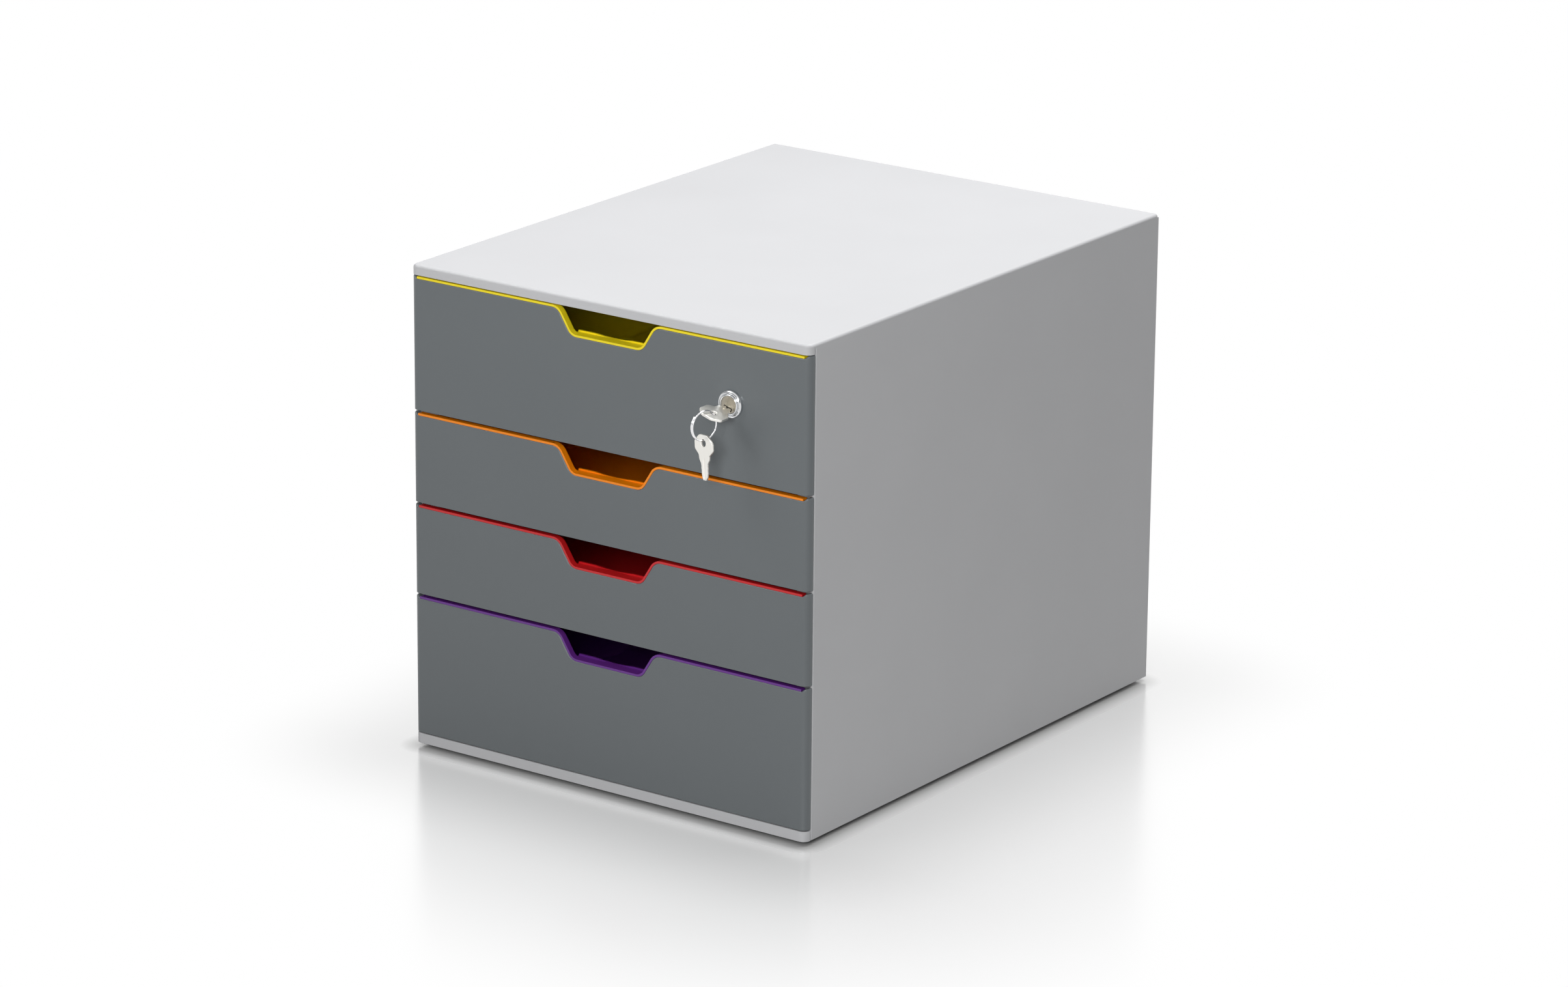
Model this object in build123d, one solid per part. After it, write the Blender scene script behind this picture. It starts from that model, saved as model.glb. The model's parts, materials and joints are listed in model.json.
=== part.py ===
from build123d import *
import math
import os

# Desktop file drawer: a moulded housing with four sliding drawers, the top one with a cam lock.
# Millimetres. X to the right, Y to the back, Z up. The origin is the centre of the base, on the
# surface that the feet stand on; the drawer fronts lie in the plane y = -overall_depth / 2.

# ---------------------------------------------------------------- driving dimensions: housing
overall_width = 280.0
overall_depth = 356.0
side_wall = 3.0
back_wall = 3.0
lid_skin = 2.2
lid_lip_height = 5.9
lid_edge_radius = 1.8
base_skin = 2.4
base_lip_height = 6.0
foot_height = 2.6
front_depth = 5.0           # depth of the drawer fronts and of the lips of lid and base
front_corner_radius = 4.2   # the rounded upright ends of fronts and lips, seen from above
side_front_gap = 0.4        # between the back of the fronts and the front edge of the sides
seam_radius = 1.2           # rounded front edge of each side wall
back_corner_radius = 2.0

# ---------------------------------------------------------------- driving dimensions: drawers
top_front_height = 78.2
shallow_front_height = 52.2
bottom_front_height = 82.0
base_gap = 0.8              # between the base's lip and the lowest front
rim_gap = 3.3               # between a front's top edge and the front above it
lid_gap = 2.2               # between the top front and the lid's lip
front_skin = 2.2
end_skirt = 2.8
bottom_skirt = 2.0
ear_rise = 1.8              # raised ends of a front's top edge, which hide the rim's ends
ear_width = 2.0
ear_slope = 1.8
ear_radius = 0.9
edge_round = 0.9            # rounded front edge along the top of a front

notch_top_width = 69.0
notch_bottom_width = 50.0
notch_depth = 15.0
notch_top_radius = 7.0
notch_bottom_radius = 7.0

tray_wall = 2.0
tray_floor = 2.0
tray_draft = 1.4            # how much narrower the tray is at its floor, on each side
tray_side_gap = 1.5         # between the tray's side wall and the ends of the runner ribs
tray_back_gap = 7.0         # between the tray's back wall and the housing's back panel
tray_corner_radius = 9.0
tray_floor_radius = 3.0
tray_rise = 2.4             # underside of a tray above the lower edge of its front
rim_thickness = 1.3         # coloured rim that caps the front's top edge
rim_setback = 0.4           # the rim's front face behind the front's face
rim_end_gap = 0.3
seat_clearance = 0.05       # between pieces that are seated on each other along a curve
ledge_depth = 4.4           # finger ledge behind the front wall at the notch
ledge_ridge = 0.8
ledge_ridge_width = 1.2
ledge_dip_width = 27.0
ledge_apron = 3.0

# ---------------------------------------------------------------- driving dimensions: runners
flange_thickness = 2.0
flange_drop = 1.2           # top of the tray's side flange below the front's top edge
flange_to_side = 2.5        # between the flange's edge and the side wall
runner_reach = 9.5          # how far the runner ribs stand in from the side wall
runner_thickness = 2.0
runner_play_below = 0.3
runner_play_above = 0.5
stop_reach = 2.0
stop_length = 4.0
stop_setback = 4.6          # front stop behind the side wall's front edge
stop_lug_gap = 0.3
stop_face_gap = 0.2
drawer_travel = 270.0
stiffener_thickness = 1.6
stiffener_reach = 4.0
stiffener_count = 4
rear_rib_reach = 4.0
rear_rib_thickness = 1.8
hook_thickness = 1.8
hook_height = 14.0
hook_nose = 1.4
hook_clearance = 0.2

# ---------------------------------------------------------------- driving dimensions: fixings
stake_radius = 2.3
stake_head_radius = 3.2
stake_head_height = 1.0
stake_clearance = 0.2
stake_inset = 9.0           # stake's centre from the end of the front
stake_low = 13.0            # stake's centre above the tray's underside
stake_high = 14.0           # stake's centre below the flange
screw_radius = 1.6
screw_clearance = 0.05
screw_length = 12.0
screw_head_radius = 3.2
screw_head_height = 1.5
screw_head_recess = 1.7
screw_head_clearance = 0.3
screw_slot_width = 0.8
screw_slot_length = 4.0
screw_slot_depth = 0.7
screw_boss_width = 10.0
screw_boss_height = 14.0
screw_boss_cap = 1.0        # closed end of the boss over the screw's hole
screw_spacing = 240.0
foot_radius = 9.0
foot_inset_x = 26.0
foot_inset_y = 26.0
foot_edge_radius = 0.8
foot_stud_radius = 3.0
foot_stud_clearance = 0.1
plinth_inset = 12.0
plinth_wall = 2.0
plinth_clearance = 0.5      # between the plinth's lower edge and the surface
lid_rib = 1.6
lid_rib_height = 3.0
lid_rib_gap = 0.2

# ---------------------------------------------------------------- driving dimensions: lock
lock_from_end = 52.8        # lock axis from the right-hand end of its front
lock_below_edge = 34.2      # lock axis below the top edge of the top front
lock_flange_radius = 8.0
lock_flange_height = 2.2
lock_flange_round = 1.6
lock_rim_radius = 5.9
lock_rim_height = 3.0
lock_rim_chamfer = 0.4
lock_barrel_radius = 6.3
lock_barrel_length = 18.0
lock_hole_clearance = 0.15
lock_plug_radius = 4.9
lock_plug_clearance = 0.05
lock_plug_recess = 0.3
lock_nut_across = 17.0
lock_nut_height = 4.0
lock_rest_turn = 18.0       # how far the key stands past level at rest, in degrees
keyway_below_axis = 2.3
keyway_length = 13.0
key_clearance = 0.1
cam_thickness = 2.0
cam_gap = 0.2
cam_hub_radius = 6.6
cam_tip_radius = 5.2
cam_reach = 39.4
cam_square = 6.0
cam_screw_radius = 1.5
cam_screw_length = 8.0
cam_screw_across = 8.0
cam_screw_head = 2.4
catch_thickness = 1.5
catch_width = 28.0
catch_plate = 11.0
catch_drop = 3.9
catch_cam_gap = 0.5
catch_pin_radius = 1.5
catch_pin_spacing = 18.0
catch_pin_length = 2.4

# ---------------------------------------------------------------- driving dimensions: keys
key_thickness = 1.9
bow_width = 16.0
bow_front_width = 8.0
bow_side_front = 0.5        # the bow's straight sides run from here before its hole
bow_side_back = 4.5         # to here behind its hole
bow_front = 7.5             # front edge of the bow before its hole
bow_back = 7.0              # where the bow meets the neck, behind its hole
bow_radius = 1.5
bow_hole_radius = 2.6
key_neck_width = 8.0
key_neck_length = 3.5
key_blade_width = 5.6
key_blade_length = 11.0
key_tip_width = 3.0
key_tip_length = 2.0
key_groove_width = 1.2
key_groove_depth = 0.5
key_groove_lead = 1.0       # the groove starts this far before the blade
key_hole_out = 16.0         # the bow's hole before the front's face
ring_radius = 8.5           # to the middle of the wire
ring_wire_radius = 0.5
ring_turns = 1.3
ring_lap_gap = 0.1
ring_turn = 16.0            # the ring's plane, turned from the key's axis, in degrees
ring_hang = 48.0            # hole's place on the ring, from the ring's top, in degrees
ring_lap_start = 136.0      # where the doubled part of the ring starts, from its back
ring_key_gap = 0.3

tolerance = 0.01            # for picking edges by their place

# ---------------------------------------------------------------- places that follow from them
front_y = -overall_depth / 2
back_y = overall_depth / 2
half_width = overall_width / 2
lip_back_y = front_y + front_depth
side_front_y = lip_back_y + side_front_gap
side_inner_x = half_width - side_wall
back_inner_y = back_y - back_wall
base_top_z = foot_height + base_lip_height
base_inner_z = foot_height + base_skin
front_heights = [top_front_height, shallow_front_height, shallow_front_height, bottom_front_height]
drawer_count = len(front_heights)


def front_bottom(index):
    """Lower edge of a drawer front; index 0 is the top drawer."""
    below = front_heights[index + 1:]
    return base_top_z + base_gap + sum(below) + rim_gap * len(below)


def front_top(index):
    """Upper edge of a drawer front between its ears."""
    return front_bottom(index) + front_heights[index]


lid_lip_z = front_top(0) + lid_gap
overall_height = lid_lip_z + lid_lip_height
lid_under_z = overall_height - lid_skin
lock_x = half_width - lock_from_end
lock_z = front_top(0) - lock_below_edge
skin_back_y = front_y + front_skin
tray_front_y = skin_back_y
tray_inner_front_y = tray_front_y + tray_wall
tray_back_y = back_inner_y - tray_back_gap
tray_top_half_width = side_inner_x - runner_reach - tray_side_gap
flange_x = side_inner_x - flange_to_side
stop_back_y = side_front_y + stop_setback + stop_length
lug_front_y = stop_back_y + stop_face_gap + drawer_travel


def block(x0, x1, y0, y1, z0, z1):
    """A box between two corners."""
    return Pos((x0 + x1) / 2, (y0 + y1) / 2, (z0 + z1) / 2) * Box(x1 - x0, y1 - y0, z1 - z0)


def rod(radius, x, z, y0, y1):
    """A round bar along Y."""
    return Pos(x, (y0 + y1) / 2, z) * Rot(90, 0, 0) * Cylinder(radius, y1 - y0)


def post(radius, x, y, z0, z1):
    """A round bar along Z."""
    return Pos(x, y, (z0 + z1) / 2) * Cylinder(radius, z1 - z0)


def extrude_y(face, y0, y1):
    """A face drawn in X and Z, swept from y0 to y1."""
    flat = Plane(origin=(0, y0, 0), x_dir=(1, 0, 0), z_dir=(0, -1, 0)) * face
    return extrude(flat, amount=y1 - y0, dir=(0, 1, 0))


def front_band(z0, z1):
    """A bar as wide as the housing and as deep as a front, with its two front corners rounded."""
    bar = block(-half_width, half_width, front_y, lip_back_y, z0, z1)
    corners = bar.edges().filter_by(Axis.Z).group_by(Axis.Y)[0]
    return fillet(corners, front_corner_radius)


def edge_points(offset):
    """Corner points of the notched top edge, from left to right, from the front's top edge.
    offset moves the line up and into the notch, and keeps it parallel."""
    slope = math.atan2(notch_depth, (notch_top_width - notch_bottom_width) / 2)
    draw_in = offset * math.tan(slope / 2)
    top_x = notch_top_width / 2 - draw_in
    bottom_x = notch_bottom_width / 2 - draw_in
    low = offset - notch_depth
    return [(-top_x, offset), (-bottom_x, low), (bottom_x, low), (top_x, offset)]


def edge_radii(offset):
    """Radii of those corners; they stay concentric when the line is offset."""
    outer = notch_top_radius + offset
    inner = notch_bottom_radius - offset
    return [outer, inner, inner, outer]


def face_under(points, radii, bottom):
    """The face below a rounded line, down to the height bottom."""
    line = FilletPolyline(*points, radius=radii)
    left, right = points[0], points[-1]
    sides = Polyline(right, (right[0], bottom), (left[0], bottom), left)
    return make_face([line, sides])


# ================================================================ housing


def make_top_cover():
    """Lid: a skin over the side walls, a lip at the front and a rib that locates it inside them."""
    skin = block(-half_width, half_width, lip_back_y, back_y, lid_under_z, overall_height)
    skin = fillet(skin.edges().filter_by(Axis.Z).group_by(Axis.Y)[-1], back_corner_radius)
    lid = skin + front_band(lid_lip_z, overall_height)
    lid = fillet(lid.faces().sort_by(Axis.Z)[-1].edges(), lid_edge_radius)
    outer_x = side_inner_x - lid_rib_gap
    rib_back = back_inner_y - lid_rib_gap
    rib_front = side_front_y
    rib_low = lid_under_z - lid_rib_height
    for side in (-1, 1):
        x0, x1 = sorted((side * outer_x, side * (outer_x - lid_rib)))
        lid += block(x0, x1, rib_front, rib_back, rib_low, lid_under_z)
    lid += block(-outer_x, outer_x, rib_back - lid_rib, rib_back, rib_low, lid_under_z)
    for x in catch_pin_places():
        lid += post(catch_pin_radius, x, catch_pin_y, lid_under_z - catch_pin_length, lid_under_z)
    return lid


def screw_places():
    """The four screws that hold the base to the side walls."""
    x = side_inner_x - screw_boss_width / 2
    return [(sx * x, sy * screw_spacing / 2) for sx in (-1, 1) for sy in (-1, 1)]


def foot_places():
    x = half_width - foot_inset_x
    y = overall_depth / 2 - foot_inset_y
    return [(sx * x, sy * y) for sx in (-1, 1) for sy in (-1, 1)]


def make_base_plate():
    """Base: a skin between the side walls, a lip at the front and a set-back plinth below."""
    inner_x = side_inner_x
    base = block(-inner_x, inner_x, lip_back_y, back_inner_y, foot_height, base_inner_z)
    base += front_band(foot_height, base_top_z)
    x1 = half_width - plinth_inset
    y1 = back_y - plinth_inset
    plinth = block(-x1, x1, -y1, y1, plinth_clearance, foot_height)
    x0 = x1 - plinth_wall
    y0 = y1 - plinth_wall
    base += plinth - block(-x0, x0, -y0, y0, plinth_clearance, foot_height)
    for x, y in screw_places():
        recess_z = foot_height + screw_head_recess
        base -= post(screw_radius + screw_head_clearance, x, y, foot_height, base_inner_z)
        base -= post(screw_head_radius + screw_head_clearance, x, y, foot_height, recess_z)
    for x, y in foot_places():
        base -= post(foot_stud_radius + foot_stud_clearance, x, y, foot_height, base_inner_z)
    return base


def make_feet():
    """Rubber feet: discs with a stud that is pushed into the base."""
    feet = []
    for x, y in foot_places():
        disc = post(foot_radius, x, y, 0, foot_height)
        disc = fillet(disc.edges().sort_by(Axis.Z)[0], foot_edge_radius)
        feet.append(disc + post(foot_stud_radius, x, y, foot_height, base_inner_z))
    return Compound(children=feet)


def make_base_screws():
    """Pan-head screws from below, through the base into the bosses of the side walls."""
    screws = []
    for x, y in screw_places():
        seat_z = foot_height + screw_head_recess
        head_z = seat_z - screw_head_height
        head = post(screw_head_radius, x, y, head_z, seat_z)
        slot_x, slot_y = screw_slot_width / 2, screw_slot_length / 2
        slot = block(x - slot_x, x + slot_x, y - slot_y, y + slot_y, head_z, head_z + screw_slot_depth)
        screws.append(head - slot + post(screw_radius, x, y, seat_z, seat_z + screw_length))
    return Compound(children=screws)


def runner_levels(index):
    """Top of the ledge and underside of the guide rib that hold one tray's flange."""
    flange_top = front_top(index) - flange_drop
    return flange_top - flange_thickness - runner_play_below, flange_top + runner_play_above


def hook_levels():
    """Heights of the back panel's hooks, midway between two runners."""
    levels = []
    for index in range(drawer_count):
        ledge = runner_levels(index)[0] - runner_thickness
        below = base_inner_z + screw_boss_height
        if index + 1 < drawer_count:
            below = runner_levels(index + 1)[1] + runner_thickness
        levels.append((ledge + below) / 2)
    return levels


def make_right_side():
    """Side wall with the runner ribs, front stops, stiffeners, screw bosses and rear rib."""
    side = block(side_inner_x, half_width, side_front_y, back_y, foot_height, lid_under_z)
    outer = side.edges().filter_by(Axis.Z).group_by(Axis.Y)[0].sort_by(Axis.X)[-1]
    side = fillet(outer, seam_radius)
    reach_x = side_inner_x - runner_reach
    rib_front = side_front_y + front_skin
    rib_back = back_inner_y - rear_rib_thickness
    for index in range(drawer_count):
        ledge_z, guide_z = runner_levels(index)
        side += block(reach_x, side_inner_x, rib_front, rib_back, ledge_z - runner_thickness, ledge_z)
        side += block(reach_x, side_inner_x, rib_front, rib_back, guide_z, guide_z + runner_thickness)
        stop_x = side_inner_x - stop_reach
        side += block(stop_x, side_inner_x, stop_back_y - stop_length, stop_back_y, ledge_z, guide_z)
        low_z = base_inner_z
        if index + 1 < drawer_count:
            low_z = runner_levels(index + 1)[1] + runner_thickness
        high_z = ledge_z - runner_thickness
        stiff_x = side_inner_x - stiffener_reach
        pitch = overall_depth / (stiffener_count + 1)
        for place in range(1, stiffener_count + 1):
            y = front_y + place * pitch
            y0 = y - stiffener_thickness / 2
            side += block(stiff_x, side_inner_x, y0, y0 + stiffener_thickness, low_z, high_z)
    for x, y in screw_places():
        if x > 0:
            boss_y = screw_boss_width / 2
            boss_top = base_inner_z + screw_boss_height
            boss_x = side_inner_x - screw_boss_width
            side += block(boss_x, side_inner_x, y - boss_y, y + boss_y, base_inner_z, boss_top)
            side -= post(screw_radius + screw_clearance, x, y, base_inner_z, boss_top - screw_boss_cap)
    rear_x = side_inner_x - rear_rib_reach
    rear_top = lid_under_z - lid_rib_height - lid_rib_gap
    side += block(rear_x, side_inner_x, rib_back, back_inner_y, base_inner_z, rear_top)
    return side


def make_back_panel():
    """Back panel between the side walls, held by hooks that snap round their rear ribs."""
    x1 = side_inner_x
    back = block(-x1, x1, back_inner_y, back_y, foot_height, lid_under_z)
    hook_front = back_inner_y - rear_rib_thickness - hook_clearance - hook_thickness
    for z in hook_levels():
        z0, z1 = z - hook_height / 2, z + hook_height / 2
        outer = side_inner_x - rear_rib_reach - hook_clearance
        inner = outer - hook_thickness
        for side in (-1, 1):
            arm_x = sorted((side * inner, side * outer))
            nose_x = sorted((side * inner, side * (outer + hook_nose)))
            nose_back = hook_front + hook_thickness
            back += block(*arm_x, hook_front, back_inner_y, z0, z1)
            back += block(*nose_x, hook_front, nose_back, z0, z1)
    return back


# ================================================================ drawers


def make_front(index):
    """Drawer front: a shallow dish with rounded ends, a finger notch and heat-staked studs."""
    low, top = front_bottom(index), front_top(index)
    panel = front_band(low, top + ear_rise)
    ear_x = half_width - ear_width
    notch = edge_points(0)
    rise = [(ear_x - ear_slope, 0), (ear_x, ear_rise), (half_width + ear_width, ear_rise)]
    left = [(-x, z) for x, z in reversed(rise)]
    radii = [ear_radius, ear_radius] + edge_radii(0) + [ear_radius, ear_radius]
    outline = face_under(left + notch + rise, radii, low - top - ear_width)
    panel &= extrude_y(Pos(0, top) * outline, front_y - front_depth, lip_back_y + front_depth)
    edges = panel.faces().sort_by(Axis.Y)[0].edges()
    middle = (low + top) / 2
    upper = [e for e in edges if e.bounding_box().max.Z > middle and not is_upright(e)]
    panel = fillet(upper, edge_round)
    inner_x = half_width - end_skirt
    panel -= block(-inner_x, inner_x, skin_back_y, lip_back_y, low + bottom_skirt, top + rim_gap)
    for x, z in stake_places(index):
        head_y = tray_inner_front_y
        panel += rod(stake_radius, x, z, skin_back_y, head_y)
        head = rod(stake_head_radius, x, z, head_y, head_y + stake_head_height)
        panel += chamfer(head.edges().sort_by(Axis.Y)[-1], stake_head_height / 2)
    if index == 0:
        panel -= lock_hole()
    return panel


def is_upright(edge):
    """True for a straight edge along Z."""
    size = edge.bounding_box().size
    return size.X < tolerance < size.Z


def stake_places(index):
    """Studs at the ends of a front, outside the tray's side walls."""
    x = half_width - stake_inset
    low = front_bottom(index) + tray_rise + stake_low
    high = front_top(index) - flange_drop - flange_thickness - stake_high
    return [(side * x, z) for side in (-1, 1) for z in (low, high)]


def lock_hole():
    """Hole for the lock's barrel through the front and the tray's front wall."""
    radius = lock_barrel_radius + lock_hole_clearance
    return rod(radius, lock_x, lock_z, front_y, tray_inner_front_y)


def rounded_plan(half_x, y0, y1, z, radius):
    """A rectangle in plan whose two back corners are rounded."""
    corners = [(-half_x, y0), (-half_x, y1), (half_x, y1), (half_x, y0)]
    line = FilletPolyline(*corners, radius=[radius, radius])
    return Pos(0, 0, z) * make_face([line, Line(corners[-1], corners[0])])


def tray_tub(inset, y0, low, high, radius):
    """The tray's tapered tub, or its hollow when it is inset by the wall."""
    bottom_x = tray_top_half_width - tray_draft - inset
    bottom = rounded_plan(bottom_x, y0, tray_back_y - tray_draft - inset, low, radius)
    top = rounded_plan(tray_top_half_width - inset, y0, tray_back_y - inset, high, radius)
    tub = loft([bottom, top], ruled=True)
    floor_edges = tub.faces().sort_by(Axis.Z)[0].edges()
    if inset == 0:
        floor_edges = floor_edges.sort_by(Axis.Y)[1:]
    return fillet(floor_edges, tray_floor_radius)


def make_tray(index):
    """Coloured tray: tub, front wall, rim over the front's edge, finger ledge and flanges."""
    top = front_top(index)
    low = front_bottom(index) + tray_rise
    flange_top = top - flange_drop
    tray = tray_tub(0, tray_inner_front_y, low, flange_top, tray_corner_radius)
    wall_x = half_width - end_skirt - rim_end_gap
    rim_x = half_width - ear_width - ear_slope - rim_end_gap
    wall_points = [(-rim_x, rim_thickness)] + edge_points(rim_thickness) + [(rim_x, rim_thickness)]
    wall_face = face_under(wall_points, edge_radii(rim_thickness), low - top)
    tray += extrude_y(Pos(0, top) * wall_face, tray_front_y, tray_inner_front_y)
    for side in (-1, 1):
        x0, x1 = sorted((side * tray_top_half_width, side * wall_x))
        tray += block(x0, x1, tray_front_y, tray_inner_front_y, low, top)
    gap_points = [(-rim_x, seat_clearance)] + edge_points(seat_clearance) + [(rim_x, seat_clearance)]
    gap_face = face_under(gap_points, edge_radii(seat_clearance), low - top)
    rim = extrude_y(Pos(0, top) * wall_face, front_y + rim_setback, tray_front_y)
    tray += rim - extrude_y(Pos(0, top) * gap_face, front_y, tray_front_y)
    inner_radius = tray_corner_radius - tray_wall
    tray -= tray_tub(tray_wall, tray_inner_front_y, low + tray_floor, flange_top, inner_radius)
    tray += make_ledge(top)
    for side in (-1, 1):
        x0, x1 = sorted((side * (tray_top_half_width - tray_wall / 2), side * flange_x))
        z0 = flange_top - flange_thickness
        tray += block(x0, x1, tray_inner_front_y, tray_back_y + tray_wall, z0, flange_top)
        lug_x = sorted((side * flange_x, side * (side_inner_x - stop_lug_gap)))
        tray += block(*lug_x, lug_front_y, lug_front_y + stop_length, z0, flange_top)
    for x, z in stake_places(index):
        tray -= rod(stake_radius + stake_clearance, x, z, tray_front_y, tray_inner_front_y)
    if index == 0:
        tray -= lock_hole()
    return tray


def make_ledge(top):
    """Finger ledge behind the notch's lower edge, with a ridge that dips in the middle."""
    low_points = edge_points(0)
    half_x = low_points[2][0]
    bottom = top + low_points[2][1]
    surface = bottom + rim_thickness
    back = tray_inner_front_y + ledge_depth
    ledge = block(-half_x, half_x, tray_inner_front_y, back, bottom, surface)
    ridge_y = back - ledge_ridge_width
    ridge = block(-half_x, half_x, ridge_y, back, bottom - ledge_apron, surface + ledge_ridge)
    half_dip = ledge_dip_width / 2
    dip_radius = (half_dip ** 2 + ledge_ridge ** 2) / (2 * ledge_ridge)
    ridge -= rod(dip_radius, 0, surface + dip_radius, ridge_y, back)
    return ledge + ridge


# ================================================================ lock

lock_axis = Pos(lock_x, 0, lock_z)
lock_back_y = front_y + lock_barrel_length
cam_front_y = lock_back_y + cam_gap
cam_back_y = cam_front_y + cam_thickness
plug_front_y = front_y - lock_rim_height + lock_plug_recess
catch_back_y = cam_front_y - catch_cam_gap
catch_pin_y = catch_back_y - catch_thickness - (catch_plate - catch_thickness) / 2


def catch_pin_places():
    return [lock_x - catch_pin_spacing / 2, lock_x + catch_pin_spacing / 2]


def turned(points):
    """A solid of revolution about the lock's axis, from points of radius and height before the
    front's face."""
    outline = [(radius, front_y - height) for radius, height in points]
    face = make_face([Polyline(*outline, outline[0])])
    return lock_axis * revolve(face, axis=Axis.Y)


def make_lock_housing():
    """Lock housing: a domed flange with a raised rim, and a bored barrel."""
    points = [
        (lock_plug_radius + lock_plug_clearance, lock_rim_height),
        (lock_rim_radius - lock_rim_chamfer, lock_rim_height),
        (lock_rim_radius, lock_rim_height - lock_rim_chamfer),
        (lock_rim_radius, lock_flange_height),
        (lock_flange_radius, lock_flange_height),
        (lock_flange_radius, 0),
        (lock_barrel_radius, 0),
        (lock_barrel_radius, -lock_barrel_length),
        (lock_plug_radius + lock_plug_clearance, -lock_barrel_length),
    ]
    body = turned(points)
    rim_edges = body.edges().filter_by(GeomType.CIRCLE)
    outer = [e for e in rim_edges if is_flange_edge(e)]
    return fillet(outer, lock_flange_round)


def is_flange_edge(edge):
    """True for the front edge of the lock's flange."""
    at_front = abs(edge.center().Y - (front_y - lock_flange_height)) < tolerance
    return at_front and abs(edge.radius - lock_flange_radius) < tolerance


def make_lock_nut():
    """Hexagon nut that clamps the lock to the drawer's front wall."""
    side_radius = lock_nut_across / math.sqrt(3)
    face = Pos(lock_x, lock_z) * RegularPolygon(side_radius, 6)
    nut = extrude_y(face, tray_inner_front_y, tray_inner_front_y + lock_nut_height)
    bore = lock_barrel_radius + lock_plug_clearance
    return nut - rod(bore, lock_x, lock_z, tray_inner_front_y, tray_inner_front_y + lock_nut_height)


def key_plane():
    """Middle of the key's plate, turned with the plug; local Y runs into the lock."""
    return lock_axis * Rot(0, lock_rest_turn, 0) * Pos(0, 0, -keyway_below_axis)


def make_lock_plug():
    """Plug that the key turns, with the keyway at its front and the cam's square at its back."""
    plug = rod(lock_plug_radius, 0, 0, plug_front_y, lock_back_y)
    half = cam_square / 2
    plug += block(-half, half, lock_back_y, cam_back_y, -half, half)
    plug -= rod(cam_screw_radius + lock_plug_clearance, 0, 0, cam_back_y - cam_screw_length, cam_back_y)
    plug = lock_axis * Rot(0, lock_rest_turn, 0) * plug
    half_w = key_blade_width / 2 + key_clearance
    half_t = key_thickness / 2 + key_clearance
    slot = block(-half_w, half_w, plug_front_y, plug_front_y + keyway_length, -half_t, half_t)
    return plug - key_plane() * slot


def make_cam():
    """Cam: a flat tapered arm on the plug's square, which the key turns up behind the catch."""
    tip_x = cam_tip_radius - cam_reach
    hub = Circle(cam_hub_radius)
    tip = Pos(tip_x, 0) * Circle(cam_tip_radius)
    arm = make_hull(hub.edges() + tip.edges())
    half = cam_square / 2 + lock_plug_clearance
    arm -= Rectangle(2 * half, 2 * half)
    return lock_axis * Rot(0, lock_rest_turn, 0) * extrude_y(arm, cam_front_y, cam_back_y)


def make_cam_screw():
    """Hexagon-head screw that holds the cam on the plug."""
    hexagon = RegularPolygon(cam_screw_across / math.sqrt(3), 6)
    head = extrude_y(hexagon, cam_back_y, cam_back_y + cam_screw_head)
    shank = rod(cam_screw_radius, 0, 0, cam_back_y - cam_screw_length, cam_back_y)
    return lock_axis * Rot(0, lock_rest_turn, 0) * (head + shank)


def make_lock_catch():
    """Catch under the lid: a plate on two pins with a lip that the cam turns up behind."""
    x0, x1 = lock_x - catch_width / 2, lock_x + catch_width / 2
    plate_front = catch_back_y - catch_plate
    catch = block(x0, x1, plate_front, catch_back_y, lid_under_z - catch_thickness, lid_under_z)
    lip_front = catch_back_y - catch_thickness
    catch += block(x0, x1, lip_front, catch_back_y, lid_under_z - catch_drop, lid_under_z)
    for x in catch_pin_places():
        radius = catch_pin_radius + lock_plug_clearance
        catch -= post(radius, x, catch_pin_y, lid_under_z - catch_thickness, lid_under_z)
    return catch


# ================================================================ keys


def key_outline():
    """Outline of a key, hole at the origin, tip along +Y."""
    neck_y = bow_back + key_neck_length
    half = [
        (bow_front_width / 2, -bow_front),
        (bow_width / 2, -bow_side_front),
        (bow_width / 2, bow_side_back),
        (key_neck_width / 2, bow_back),
        (key_neck_width / 2, neck_y),
        (key_blade_width / 2, neck_y),
        (key_blade_width / 2, neck_y + key_blade_length - key_tip_length),
        (key_tip_width / 2, neck_y + key_blade_length),
    ]
    mirrored = [(-x, y) for x, y in reversed(half)]
    outline = make_face([Polyline(*(half + mirrored), half[0])])
    bow_corners = [v for v in outline.vertices() if v.Y < (bow_side_back + bow_back) / 2]
    return fillet(bow_corners, bow_radius) - Circle(bow_hole_radius)


def make_key():
    """A flat pressed key with a long groove in each side of its blade."""
    key = extrude(Pos(0, 0, -key_thickness / 2) * key_outline(), amount=key_thickness)
    neck_y = bow_back + key_neck_length
    tip_y = neck_y + key_blade_length
    half = key_groove_width / 2
    for side in (-1, 1):
        z0, z1 = sorted((side * (key_thickness / 2 - key_groove_depth), side * key_thickness / 2))
        key -= block(-half, half, neck_y - key_groove_lead, tip_y, z0, z1)
    return key


hole_point = key_plane() * Pos(0, front_y - key_hole_out, 0)
ring_frame = Rot(0, 0, -ring_turn)
hang = math.radians(ring_hang)
ring_centre = (
    Pos(*hole_point.position) * ring_frame
    * Pos(0, -ring_radius * math.sin(hang), -ring_radius * math.cos(hang))
)


def make_working_key():
    """The key in the lock, its hole before the front's face."""
    return hole_point * make_key()


def make_key_ring():
    """Split ring: one wire of a turn and a third, its ends lying side by side."""
    pitch = 2 * ring_wire_radius + ring_lap_gap
    height = pitch * ring_turns
    path = Helix(pitch=pitch, height=height, radius=ring_radius)
    section = Plane(origin=path @ 0, z_dir=path % 0) * Circle(ring_wire_radius)
    coil = Pos(0, 0, -height / 2) * sweep(section, path=path)
    return ring_centre * Rot(0, 90, 0) * Rot(0, 0, 90 + ring_lap_start) * coil


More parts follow.
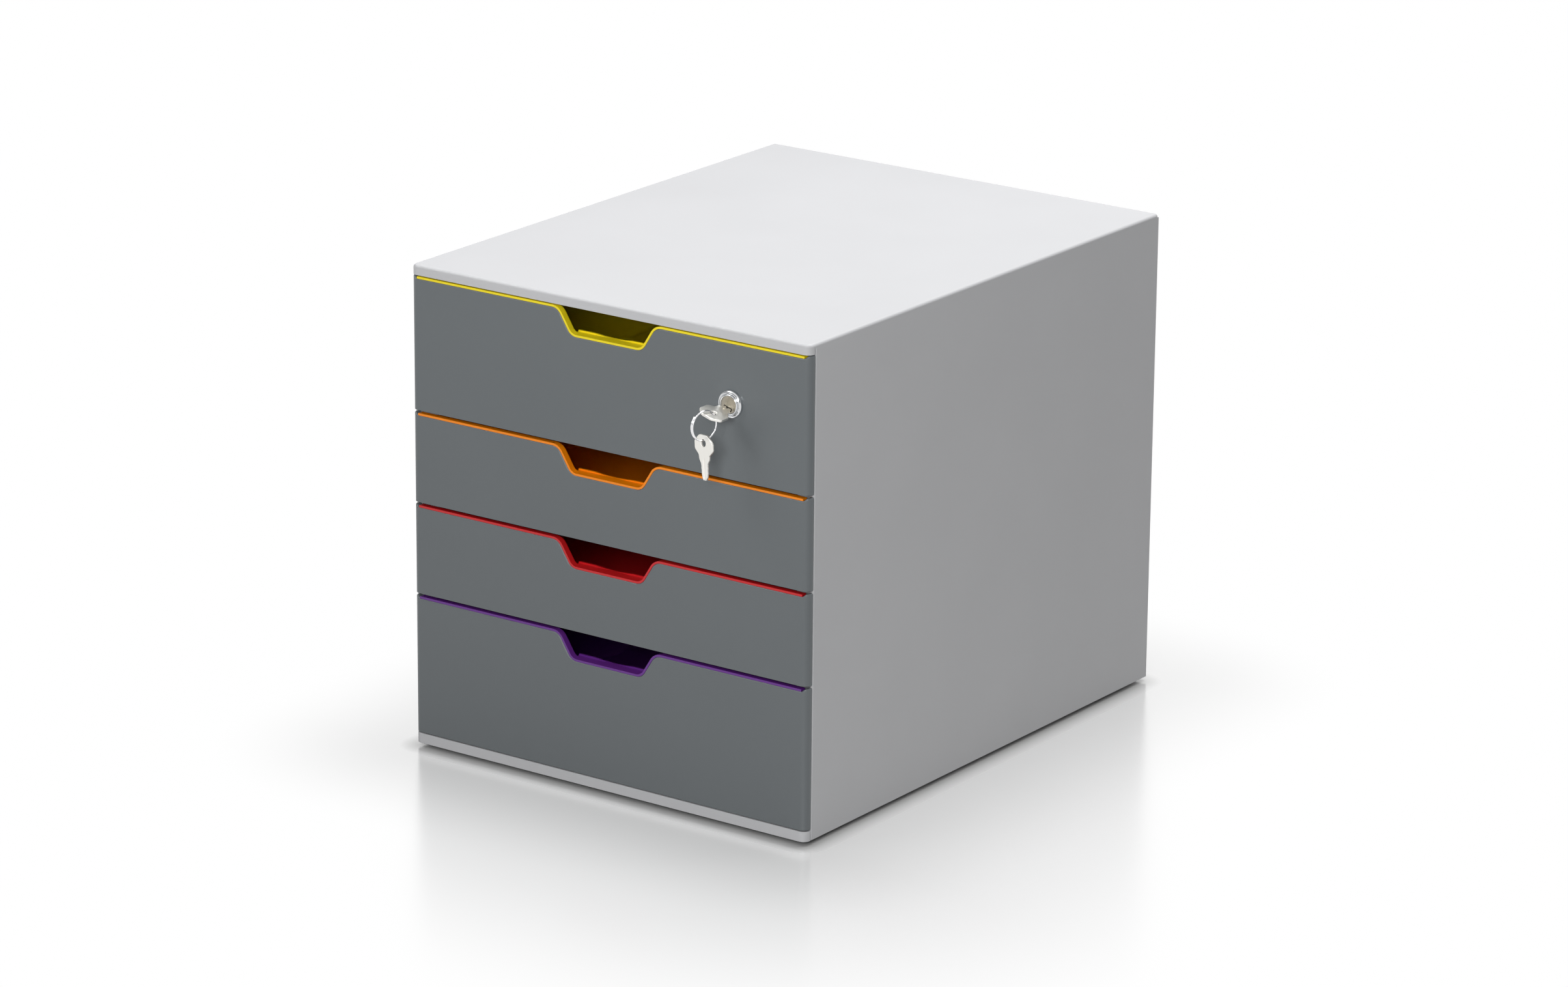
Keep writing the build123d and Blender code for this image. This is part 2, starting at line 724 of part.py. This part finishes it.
def make_spare_key():
    """The second key, hanging by its hole from the lowest point of the ring."""
    drop = bow_hole_radius - ring_wire_radius - ring_key_gap
    return ring_centre * Pos(0, 0, -ring_radius - drop) * Rot(-90, 0, 0) * make_key()


# ================================================================ all pieces

right_side = make_right_side()
pieces = {
    "top_cover": make_top_cover(),
    "base_plate": make_base_plate(),
    "rubber_feet": make_feet(),
    "base_screws": make_base_screws(),
    "right_side": right_side,
    "left_side": mirror(right_side, about=Plane.YZ),
    "back_panel": make_back_panel(),
    "lock_catch": make_lock_catch(),
    "lock_housing": make_lock_housing(),
    "lock_nut": make_lock_nut(),
    "lock_plug": make_lock_plug(),
    "lock_cam": make_cam(),
    "cam_screw": make_cam_screw(),
    "working_key": make_working_key(),
    "key_ring": make_key_ring(),
    "spare_key": make_spare_key(),
}
for number in range(1, drawer_count + 1):
    pieces[f"tray_{number}"] = make_tray(number - 1)
    pieces[f"front_{number}"] = make_front(number - 1)

os.makedirs("parts", exist_ok=True)
for name, piece in pieces.items():
    export_step(piece, os.path.join("parts", name + ".step"))

ring_at = ring_centre.position
print(f"overall height {overall_height:.2f}")
print(f"lock axis x {lock_x:.2f} z {lock_z:.2f}")
print(f"bow hole {hole_point.position}")
print(f"ring centre {ring_at}")
print(f"ring gap between its turns {ring_lap_gap:.2f}")
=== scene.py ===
import bpy
import json
import math
import numpy as np
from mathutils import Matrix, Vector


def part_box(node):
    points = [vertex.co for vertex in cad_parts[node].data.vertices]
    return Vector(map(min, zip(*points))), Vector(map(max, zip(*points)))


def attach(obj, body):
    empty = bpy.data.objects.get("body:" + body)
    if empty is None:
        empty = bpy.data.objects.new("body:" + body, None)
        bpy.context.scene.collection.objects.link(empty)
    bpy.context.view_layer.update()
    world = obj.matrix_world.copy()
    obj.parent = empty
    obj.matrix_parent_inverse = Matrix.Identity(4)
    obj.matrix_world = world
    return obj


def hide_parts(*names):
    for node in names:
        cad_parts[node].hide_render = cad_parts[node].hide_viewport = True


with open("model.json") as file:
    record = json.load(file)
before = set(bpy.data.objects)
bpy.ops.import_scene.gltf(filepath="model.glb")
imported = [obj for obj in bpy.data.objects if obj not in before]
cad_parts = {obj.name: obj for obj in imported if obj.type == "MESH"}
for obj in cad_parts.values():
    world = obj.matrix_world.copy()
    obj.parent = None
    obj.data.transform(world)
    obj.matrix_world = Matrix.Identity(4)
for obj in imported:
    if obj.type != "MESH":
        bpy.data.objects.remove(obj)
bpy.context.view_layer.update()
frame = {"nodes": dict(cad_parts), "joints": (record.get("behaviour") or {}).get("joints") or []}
parts = frame["nodes"]


# ---------------------------------------------------------------- camera
# A long lens that looks down on the front right corner of the box, as the photograph does.
# The picture is 2408 x 1515.
camera_data = bpy.data.cameras.new("camera")
camera_data.sensor_width = 36.0
camera_data.lens = 138.24
camera_data.clip_end = 60.0
camera = bpy.data.objects.new("camera", camera_data)
camera.rotation_euler = (1.266169, -0.008441, 0.621805)
camera.location = (1.9609, -2.7566, 1.2001)
bpy.context.scene.collection.objects.link(camera)
bpy.context.scene.camera = camera


# ---------------------------------------------------------------- floor
# A pale floor that fades to white away from the box. Next to the box it takes a soft shadow and
# shows a faint, blurred reflection.
def shader_node(owner, kind, **values):
    """One node in the tree of a material or the world. A value with the name of a socket goes on
    that socket, and any other is a setting of the node."""
    node = owner.node_tree.nodes.new(kind)
    for name, value in values.items():
        socket = name.replace("_", " ")
        if socket in node.inputs:
            node.inputs[socket].default_value = value
        else:
            setattr(node, name, value)
    return node


def join(owner, source, target):
    """Links an output to an input."""
    owner.node_tree.links.new(source, target)


def larger(owner, first, second):
    """The larger of two outputs."""
    node = shader_node(owner, "ShaderNodeMath", operation="MAXIMUM")
    join(owner, first, node.inputs[0])
    join(owner, second, node.inputs[1])
    return node.outputs[0]


def blended(owner, share, first, second):
    """The first shader where the share is 0, and the second where it is 1."""
    node = shader_node(owner, "ShaderNodeMixShader")
    for source, target in zip((share, first, second), node.inputs):
        join(owner, source, target)
    return node.outputs[0]


def empty_material(name):
    """A material whose tree has nothing but its output."""
    material = bpy.data.materials.new(name)
    material.use_nodes = True
    material.node_tree.nodes.clear()
    shader_node(material, "ShaderNodeOutputMaterial")
    return material


def finished(material, surface):
    """The material, with a shader as its surface."""
    join(material, surface, material.node_tree.nodes["Material Output"].inputs["Surface"])
    return material


def floor_finish(half_width, half_depth, shadow, contact, gloss):
    """White to the camera, to gloss and through glass, apart from two shares: one is matt, so that
    the shadow shows, and one is glossy, so that a reflection does. Shadow, contact and gloss are
    each a share and the distance in metres over which it falls smoothly to nothing, from the
    rectangle of the two half sizes outward. The matt share is the larger of shadow and contact.
    To scattered light the whole floor is matt."""
    material = empty_material("studio_floor")
    place = shader_node(material, "ShaderNodeTexCoord")
    folded = shader_node(material, "ShaderNodeVectorMath", operation="ABSOLUTE")
    beyond = shader_node(material, "ShaderNodeVectorMath", operation="SUBTRACT")
    beyond.inputs[1].default_value = (half_width, half_depth, 0)
    outside = shader_node(material, "ShaderNodeVectorMath", operation="MAXIMUM")
    outside.inputs[1].default_value = (0, 0, 0)
    distance = shader_node(material, "ShaderNodeVectorMath", operation="LENGTH")
    join(material, place.outputs["Object"], folded.inputs[0])
    join(material, folded.outputs[0], beyond.inputs[0])
    join(material, beyond.outputs[0], outside.inputs[0])
    join(material, outside.outputs[0], distance.inputs[0])

    def fading(share, reach):
        """The share on the rectangle, less with the distance from it, and nothing at the reach."""
        fade = shader_node(material, "ShaderNodeMapRange", From_Max=reach, To_Min=share,
                           To_Max=0.0, interpolation_type="SMOOTHSTEP")
        join(material, distance.outputs["Value"], fade.inputs["Value"])
        return fade.outputs["Result"]

    matt = shader_node(material, "ShaderNodeBsdfDiffuse", Color=(0.48, 0.48, 0.475, 1))
    mirror = shader_node(material, "ShaderNodeBsdfGlossy", Color=(1, 1, 1, 1), Roughness=0.20)
    white = shader_node(material, "ShaderNodeEmission", Color=(1, 1, 1, 1), Strength=1.0)
    matt_share = larger(material, fading(*shadow), fading(*contact))
    shaded = blended(material, matt_share, white.outputs[0], matt.outputs[0])
    shown = blended(material, fading(*gloss), shaded, mirror.outputs[0])
    ray = shader_node(material, "ShaderNodeLightPath").outputs
    seen = larger(material, ray["Is Camera Ray"], ray["Is Glossy Ray"])
    seen = larger(material, seen, ray["Is Transmission Ray"])
    return finished(material, blended(material, seen, matt.outputs[0], shown))


floor_reach = 15.0
floor_corners = [
    (-floor_reach, -floor_reach, 0), (floor_reach, -floor_reach, 0),
    (floor_reach, floor_reach, 0), (-floor_reach, floor_reach, 0),
]
floor_mesh = bpy.data.meshes.new("studio_floor")
floor_mesh.from_pydata(floor_corners, [], [(0, 1, 2, 3)])
floor_mesh.materials.append(floor_finish(
    half_width=0.135, half_depth=0.172,
    shadow=(0.36, 0.13), contact=(1.0, 0.028), gloss=(0.36, 0.31),
))
floor = bpy.data.objects.new("studio_floor", floor_mesh)
bpy.context.scene.collection.objects.link(floor)


# ---------------------------------------------------------------- lamps
# Three soft rectangular lamps: a large one above and behind, a weak one in front on the left, and
# one in front on the right, on the camera's side.
def soft_lamp(name, place, aim, width, height, watts):
    """A rectangular lamp at one place that faces another. It tips up from facing straight down by
    a right angle less the line's fall, then turns about the upright to the line's own heading."""
    data = bpy.data.lights.new(name, "AREA")
    data.shape = "RECTANGLE"
    data.size = width
    data.size_y = height
    data.energy = watts
    east, north, rise = (end - start for start, end in zip(place, aim))
    fall = math.atan2(-rise, math.hypot(east, north))
    lamp = bpy.data.objects.new(name, data)
    lamp.location = place
    lamp.rotation_euler = (math.pi / 2 - fall, 0, math.atan2(-east, north))
    bpy.context.scene.collection.objects.link(lamp)


soft_lamp("lamp_above", place=(0.18, 0.42, 1.6), aim=(0, 0.05, 0.2),
          width=0.8, height=0.8, watts=21.0)
soft_lamp("lamp_front", place=(-0.35, -0.62, 0.92), aim=(0, -0.178, 0.22),
          width=0.4, height=0.35, watts=2.3)
soft_lamp("lamp_near_camera", place=(0.76, -1.64, 0.82), aim=(0, -0.12, 0.2),
          width=0.6, height=0.35, watts=16.0)


# ---------------------------------------------------------------- studio air
# White all round to the camera and through glass, with hardly any light of its own for matt
# surfaces. Gloss mirrors a dim band in front of the box, or the bright metal would look burnt out.
def studio_air(band):
    """The band gives, for some values of a direction's rise as a share of its length, how white the
    air is that gloss mirrors there: 0 is dim and 1 is white. Toward the sides and the back that air
    is white at any rise."""
    world = bpy.data.worlds.new("studio_air")
    world.use_nodes = True
    faint = world.node_tree.nodes["Background"]
    faint.inputs["Color"].default_value = (0.95, 0.97, 1.0, 1)
    faint.inputs["Strength"].default_value = 0.07
    white = shader_node(world, "ShaderNodeBackground", Color=(1, 1, 1, 1))
    dim = shader_node(world, "ShaderNodeBackground", Color=(0.24, 0.25, 0.26, 1))
    direction = shader_node(world, "ShaderNodeTexCoord")
    split = shader_node(world, "ShaderNodeSeparateXYZ")
    join(world, direction.outputs["Generated"], split.inputs[0])
    by_rise = shader_node(world, "ShaderNodeValToRGB")
    stops = by_rise.color_ramp.elements
    stops.remove(stops[-1])
    stops[0].color = (1, 1, 1, 1)
    for rise, level in band:
        stops.new(rise).color = (level, level, level, 1)
    join(world, split.outputs["Z"], by_rise.inputs[0])
    by_heading = shader_node(world, "ShaderNodeMapRange", From_Min=-0.35, From_Max=0.0)
    join(world, split.outputs["Y"], by_heading.inputs["Value"])
    whiteness = larger(world, by_rise.outputs[0], by_heading.outputs["Result"])
    mirrored = blended(world, whiteness, dim.outputs[0], white.outputs[0])
    ray = shader_node(world, "ShaderNodeLightPath").outputs
    lit = blended(world, ray["Is Glossy Ray"], faint.outputs[0], mirrored)
    seen = larger(world, ray["Is Camera Ray"], ray["Is Transmission Ray"])
    shown = blended(world, seen, lit, white.outputs[0])
    join(world, shown, world.node_tree.nodes["World Output"].inputs["Surface"])
    return world


bpy.context.scene.world = studio_air(band=((0.10, 1.0), (0.16, 0.0), (0.52, 0.0), (0.62, 1.0)))
bpy.context.scene.view_settings.view_transform = "Standard"


# ---------------------------------------------------------------- housing
# Lid, base, side walls and back panel: light grey injection-moulded polystyrene with a fine
# spark-eroded texture. The lid locates inside the walls, and the base is screwed to them.
def with_fine_texture(material, shader, noise, roughness_range, depth):
    """Lets a noise set a shader's roughness between two values and raise a bump of the depth in
    metres, and makes that shader the material's surface."""
    smoothest, roughest = roughness_range
    polish = shader_node(material, "ShaderNodeMapRange", To_Min=smoothest, To_Max=roughest)
    relief = shader_node(material, "ShaderNodeBump", Strength=1.0, Distance=depth)
    join(material, noise.outputs["Fac"], polish.inputs["Value"])
    join(material, noise.outputs["Fac"], relief.inputs["Height"])
    join(material, polish.outputs["Result"], shader.inputs["Roughness"])
    join(material, relief.outputs["Normal"], shader.inputs["Normal"])
    return finished(material, shader.outputs[0])


def moulded_plastic(name, colour, roughness, grain_depth, grain_size=0.00035, drift=0.03):
    """Moulded plastic. A broad noise moves the colour up and down by the drift's share of it, over
    some centimetres. A fine noise with grains grain_size metres wide is the texture of the mould,
    and makes the roughness 0.05 less to 0.05 more."""
    material = empty_material(name)
    shader = shader_node(material, "ShaderNodeBsdfPrincipled", IOR=1.49)
    place = shader_node(material, "ShaderNodeTexCoord").outputs["Object"]
    patches = shader_node(material, "ShaderNodeTexNoise", Scale=14.0, Detail=2.0)
    # A mix of colours has its share at input 0, the colours at 6 and 7 and the result at output 2.
    tone = shader_node(material, "ShaderNodeMix", data_type="RGBA")
    share, darker, lighter = (tone.inputs[number] for number in (0, 6, 7))
    darker.default_value = tuple(level * (1 - drift) for level in colour) + (1,)
    lighter.default_value = tuple(min(1.0, level * (1 + drift)) for level in colour) + (1,)
    join(material, place, patches.inputs["Vector"])
    join(material, patches.outputs["Fac"], share)
    join(material, tone.outputs[2], shader.inputs["Base Color"])
    grain = shader_node(material, "ShaderNodeTexNoise", Scale=0.5 / grain_size, Detail=3.0)
    join(material, place, grain.inputs["Vector"])
    roughness_range = (roughness - 0.05, roughness + 0.05)
    return with_fine_texture(material, shader, grain, roughness_range, grain_depth)


def give(material, *names):
    """Puts a material on CAD nodes."""
    for name in names:
        mesh = parts[name].data
        mesh.materials.clear()
        mesh.materials.append(material)


housing_plastic = moulded_plastic("housing_plastic", (0.58, 0.582, 0.595), roughness=0.56,
                                  grain_depth=0.00002)
give(housing_plastic, "top_cover", "base_plate", "right_side", "left_side", "back_panel")


# ---------------------------------------------------------------- feet and steel small parts
# Four black rubber discs pushed into the base, and the zinc-plated steel: four pan-head screws that
# hold the base to the side walls, the catch under the lid, and the lock's nut, cam and screw.
foot_rubber = moulded_plastic("foot_rubber", (0.022, 0.022, 0.023), roughness=0.72,
                              grain_depth=0.00004, grain_size=0.0006, drift=0.10)
give(foot_rubber, "rubber_feet")


def bright_metal(name, colour, roughness, scratch_depth, scratch_direction=(1, 1, 0.06)):
    """Metal with fine scratches: a noise that a small scale stretches along that axis, and that
    makes the roughness a fifth less to a quarter more."""
    material = empty_material(name)
    shader = shader_node(material, "ShaderNodeBsdfPrincipled", Base_Color=colour + (1,), Metallic=1.0)
    place = shader_node(material, "ShaderNodeTexCoord")
    stretch = shader_node(material, "ShaderNodeMapping", Scale=scratch_direction)
    scratches = shader_node(material, "ShaderNodeTexNoise", Scale=2600.0, Detail=4.0)
    join(material, place.outputs["Object"], stretch.inputs["Vector"])
    join(material, stretch.outputs[0], scratches.inputs["Vector"])
    roughness_range = (roughness * 0.8, roughness * 1.25)
    return with_fine_texture(material, shader, scratches, roughness_range, scratch_depth)


zinc_steel = bright_metal("zinc_steel", (0.62, 0.63, 0.64), roughness=0.34,
                          scratch_depth=0.000006)
give(zinc_steel, "base_screws", "lock_catch", "lock_nut", "lock_cam", "cam_screw")


# ---------------------------------------------------------------- drawer fronts
# Dark grey moulded dishes, heat-staked to the trays by studs at their ends. The same fine texture
# as the housing, a little glossier.
front_plastic = moulded_plastic("front_plastic", (0.140, 0.155, 0.163), roughness=0.40,
                                grain_depth=0.00002)
give(front_plastic, "front_1", "front_2", "front_3", "front_4")


# ---------------------------------------------------------------- trays
# One moulded tray for each drawer, in yellow, orange, red and purple. Each one's rim caps the
# front's top edge and lines its finger notch. Smooth, satin-gloss plastic.
tray_colours = {
    "tray_1": ("tray_yellow", (0.95, 0.76, 0.012)),
    "tray_2": ("tray_orange", (1.0, 0.27, 0.002)),
    "tray_3": ("tray_red", (0.62, 0.012, 0.016)),
    "tray_4": ("tray_purple", (0.135, 0.024, 0.26)),
}
for tray, (finish, colour) in tray_colours.items():
    tray_plastic = moulded_plastic(finish, colour, roughness=0.30, grain_depth=0.000008,
                                   grain_size=0.0005, drift=0.02)
    give(tray_plastic, tray)


# ---------------------------------------------------------------- lock
# Chrome-plated zinc casting: a domed flange with a groove and a raised rim, and a threaded barrel
# that a nut clamps to the front. The nickel plug turns in its bore.
def closed_surface(name, points, material, sharp_degrees=38):
    """A mesh over a grid of points, in millimetres, that closes in both directions. Each quad joins
    a point with its neighbours in the next row and column. The signed volume is the sum of the
    corners' triple products; where it is negative, all quads are turned round. The shading is
    smooth except over edges that bend by sharp_degrees or more."""
    rows, columns = points.shape[:2]
    here = np.arange(rows * columns).reshape(rows, columns)
    across = np.roll(here, -1, axis=1)
    onward = (here, across, np.roll(across, -1, axis=0), np.roll(here, -1, axis=0))
    quads = np.stack(onward, axis=-1).reshape(-1, 4)
    places = points.reshape(-1, 3) * 0.001
    first, second, third, fourth = (places[quads[:, corner]] for corner in range(4))
    if np.sum(first * (np.cross(second, third) + np.cross(third, fourth))) < 0:
        quads = quads[:, ::-1]
    mesh = bpy.data.meshes.new(name)
    mesh.from_pydata(places.tolist(), [], quads.tolist())
    mesh.polygons.foreach_set("use_smooth", np.ones(len(quads), dtype=bool))
    mesh.set_sharp_from_angle(angle=math.radians(sharp_degrees))
    mesh.materials.append(material)
    piece = bpy.data.objects.new(name, mesh)
    bpy.context.scene.collection.objects.link(piece)
    return piece


def turned(profile, axis_x, front_y, axis_z, count=128):
    """Points of a profile turned about a line along Y: x is the axis's plus radius times the cosine
    of the turn, z is the axis's plus radius times the sine, and y is the front's minus the height."""
    turn = np.linspace(0, 2 * math.pi, count, endpoint=False)[:, None]
    radius, height = profile[None, :, 0], profile[None, :, 1]
    return np.stack((
        axis_x + radius * np.cos(turn),
        front_y - height + 0 * turn,
        axis_z + radius * np.sin(turn),
    ), axis=-1)


hinge_places = {
    joint["name"]: 1000 * np.array(joint["pos_m"])
    for joint in frame["joints"] if joint["type"] == "hinge"
}
lock_x, _, lock_z = hinge_places["lock_turn"]
front_face_y = 1000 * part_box("front_1")[0].y
bore_radius = 4.95
flange_radius, dome_height, dome_arc_radius = 8.0, 2.6, 1.45
neck_radius, thread_radius, thread_half_depth, thread_pitch = 6.3, 6.12, 0.16, 1.0
thread_start, thread_end, barrel_end = -2.0, -17.4, -18.0
# The profile is made of pairs of radius and height before the front's face.
rim = [(bore_radius, 2.6), (5.02, 2.95), (5.2, 3.2), (5.45, 3.3), (5.72, 3.2), (5.92, 2.95)]
groove = [(6.0, 2.45), (6.12, 2.3), (6.35, 2.42)]
dome_turn = np.linspace(math.pi / 2, 0.15, 10)
dome = np.stack((
    flange_radius + dome_arc_radius * (np.cos(dome_turn) - 1),
    dome_height + dome_arc_radius * (np.sin(dome_turn) - 1),
), axis=-1)
flange = [(flange_radius, 0.9), (flange_radius, 0.06), (7.94, 0.0)]
neck = [(neck_radius, 0.0), (neck_radius, -1.6)]
thread_height = np.linspace(thread_start, thread_end, 78)
thread_wave = np.sin(2 * math.pi * thread_height / thread_pitch)
thread = np.stack((thread_radius + thread_half_depth * thread_wave, thread_height), axis=-1)
barrel = [(6.1, barrel_end), (bore_radius, barrel_end), (bore_radius, -9.0), (bore_radius, 0.0)]
lock_profile = np.concatenate((rim, groove, dome, flange, neck, thread, barrel))
lock_points = turned(lock_profile, lock_x, front_face_y, lock_z)
chrome_plate = bright_metal("chrome_plate", (0.66, 0.67, 0.68), roughness=0.09,
                            scratch_depth=0.000001, scratch_direction=(1, 1, 1))
lock_casting = closed_surface("lock_casting", lock_points, chrome_plate)
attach(lock_casting, "drawer_1")
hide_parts("lock_housing")
plug_nickel = bright_metal("plug_nickel", (0.36, 0.33, 0.27), roughness=0.24,
                           scratch_depth=0.00001, scratch_direction=(1, 1, 1))
give(plug_nickel, "lock_plug")


# ---------------------------------------------------------------- keys and ring
# Two flat keys pressed from nickel-plated brass, with rolled edges, a wavy blade and a groove down
# each side of it, on a split ring of bright steel wire. One key is in the lock.
def rounded_outline(corners, count, cut=0.11, rounds=3):
    """A closed outline with its corners cut: each round puts a point at the cut's share of every
    side from either end. It is then set out anew at equal steps along its length."""
    line = np.array(corners, dtype=float)
    for _ in range(rounds):
        following = np.roll(line, -1, axis=0)
        ends = ((1 - cut) * line + cut * following, cut * line + (1 - cut) * following)
        line = np.stack(ends, axis=1).reshape(-1, 2)
    closed = np.vstack((line, line[:1]))
    along = np.concatenate(([0], np.cumsum(np.hypot(*np.diff(closed, axis=0).T))))
    steps = np.linspace(0, along[-1], count, endpoint=False)
    return np.stack([np.interp(steps, along, closed[:, k]) for k in range(2)], axis=-1)


key_thickness, key_hole_radius, key_edge_radius = 1.4, 2.15, 0.24
groove_depth, groove_half_width, groove_flank, groove_start = 0.42, 0.75, 0.25, 9.0


def key_surface(bow_front, count=460):
    """A key's points with its hole at the origin and its tip along y. One parameter goes round the
    outline; the other goes up the hole's wall, over the top face to the outline, down and back
    under. The hole's edge and the outline are rounded by quarter circles. On a face a point lies on
    a ray from the hole's edge to the outline set in by that rounding, so the outline's turn seen
    from the hole only grows. The groove's depth grows over its flanks and its first millimetre."""
    half = [
        (3.3, -bow_front), (7.95, -bow_front + 3.9), (7.95, 4.0), (4.6, 7.0), (4.2, 9.6),
        (2.75, 12.0), (2.5, 13.3), (2.62, 14.4), (2.36, 15.8), (2.46, 17.0), (2.25, 18.4),
        (2.0, 19.7), (1.1, 21.3),
    ]
    outline = rounded_outline(half + [(-x, y) for x, y in reversed(half)], count)
    heading = np.roll(outline, -1, axis=0) - np.roll(outline, 1, axis=0)
    heading /= np.linalg.norm(heading, axis=1, keepdims=True)
    outward = np.stack((heading[:, 1], -heading[:, 0]), axis=-1)
    outward *= np.sign(np.sum(outward * outline))
    face_end = outline - key_edge_radius * outward
    turn = np.arctan2(face_end[:, 1], face_end[:, 0])
    round_hole = np.stack((np.cos(turn), np.sin(turn)), axis=-1)

    roll = np.linspace(0, math.pi / 2, 4)[:, None]
    inset = key_edge_radius * (1 - np.cos(roll))
    rounding_height = key_thickness / 2 - key_edge_radius * (1 - np.sin(roll)) + np.zeros(count)
    hole_rows = (key_hole_radius + inset)[:, :, None] * round_hole
    edge_rows = outline - inset[::-1][1:, :, None] * outward

    share = np.linspace(0.04, 1.0, 26)[:, None]
    face_rows = hole_rows[-1] + share[:, :, None] * (face_end - hole_rows[-1])
    flank = np.clip((groove_half_width - np.abs(face_rows[:, :, 0])) / groove_flank, 0, 1)
    lead = np.clip(face_rows[:, :, 1] - groove_start, 0, 1)
    face_height = key_thickness / 2 - groove_depth * flank * lead * (share < 1)

    flat = np.concatenate((hole_rows, face_rows, edge_rows))
    height = np.concatenate((rounding_height, face_height, rounding_height[::-1][1:]))
    above = np.dstack((flat, height)).swapaxes(0, 1)
    below = above[:, ::-1] * (1, 1, -1)
    return np.concatenate((above, below), axis=1)


def placed(points, origin, x_way, y_way, z_way):
    """Points of a key's own frame in the box's frame: the origin plus each coordinate times its
    direction."""
    return origin + points @ np.array((x_way, y_way, z_way))


key_turn = math.radians(18)
working_bow_front = 6.9
working_points = placed(
    key_surface(working_bow_front), hinge_places["ring_swing"],
    (math.cos(key_turn), 0, -math.sin(key_turn)), (0, 1, 0),
    (math.sin(key_turn), 0, math.cos(key_turn)),
)
nickel_key = bright_metal("nickel_key", (0.86, 0.845, 0.80), roughness=0.38,
                          scratch_depth=0.000004, scratch_direction=(1, 0.5, 1))
key_in_lock = closed_surface("key_in_lock", working_points, nickel_key)
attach(key_in_lock, "working_key")
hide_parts("working_key")

ring_turn, tilt = math.radians(16), math.radians(4)
ring_wire_radius, ring_key_gap = 0.5, 0.3
hanging_bow_front = 4.7
level = np.array((math.cos(ring_turn), -math.sin(ring_turn), 0))
down = np.array((0, 0, -1))
drop = key_hole_radius - ring_wire_radius - ring_key_gap
hanging_points = placed(
    key_surface(hanging_bow_front), hinge_places["spare_key_swing"] + drop * down,
    math.cos(tilt) * level - math.sin(tilt) * down, math.cos(tilt) * down + math.sin(tilt) * level,
    (math.sin(ring_turn), math.cos(ring_turn), 0),
)
hanging_key = closed_surface("hanging_key", hanging_points, nickel_key)
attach(hanging_key, "spare_key")
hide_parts("spare_key")

ring_steel = bright_metal("ring_steel", (0.84, 0.84, 0.85), roughness=0.16,
                          scratch_depth=0.000002, scratch_direction=(1, 1, 1))
give(ring_steel, "key_ring")
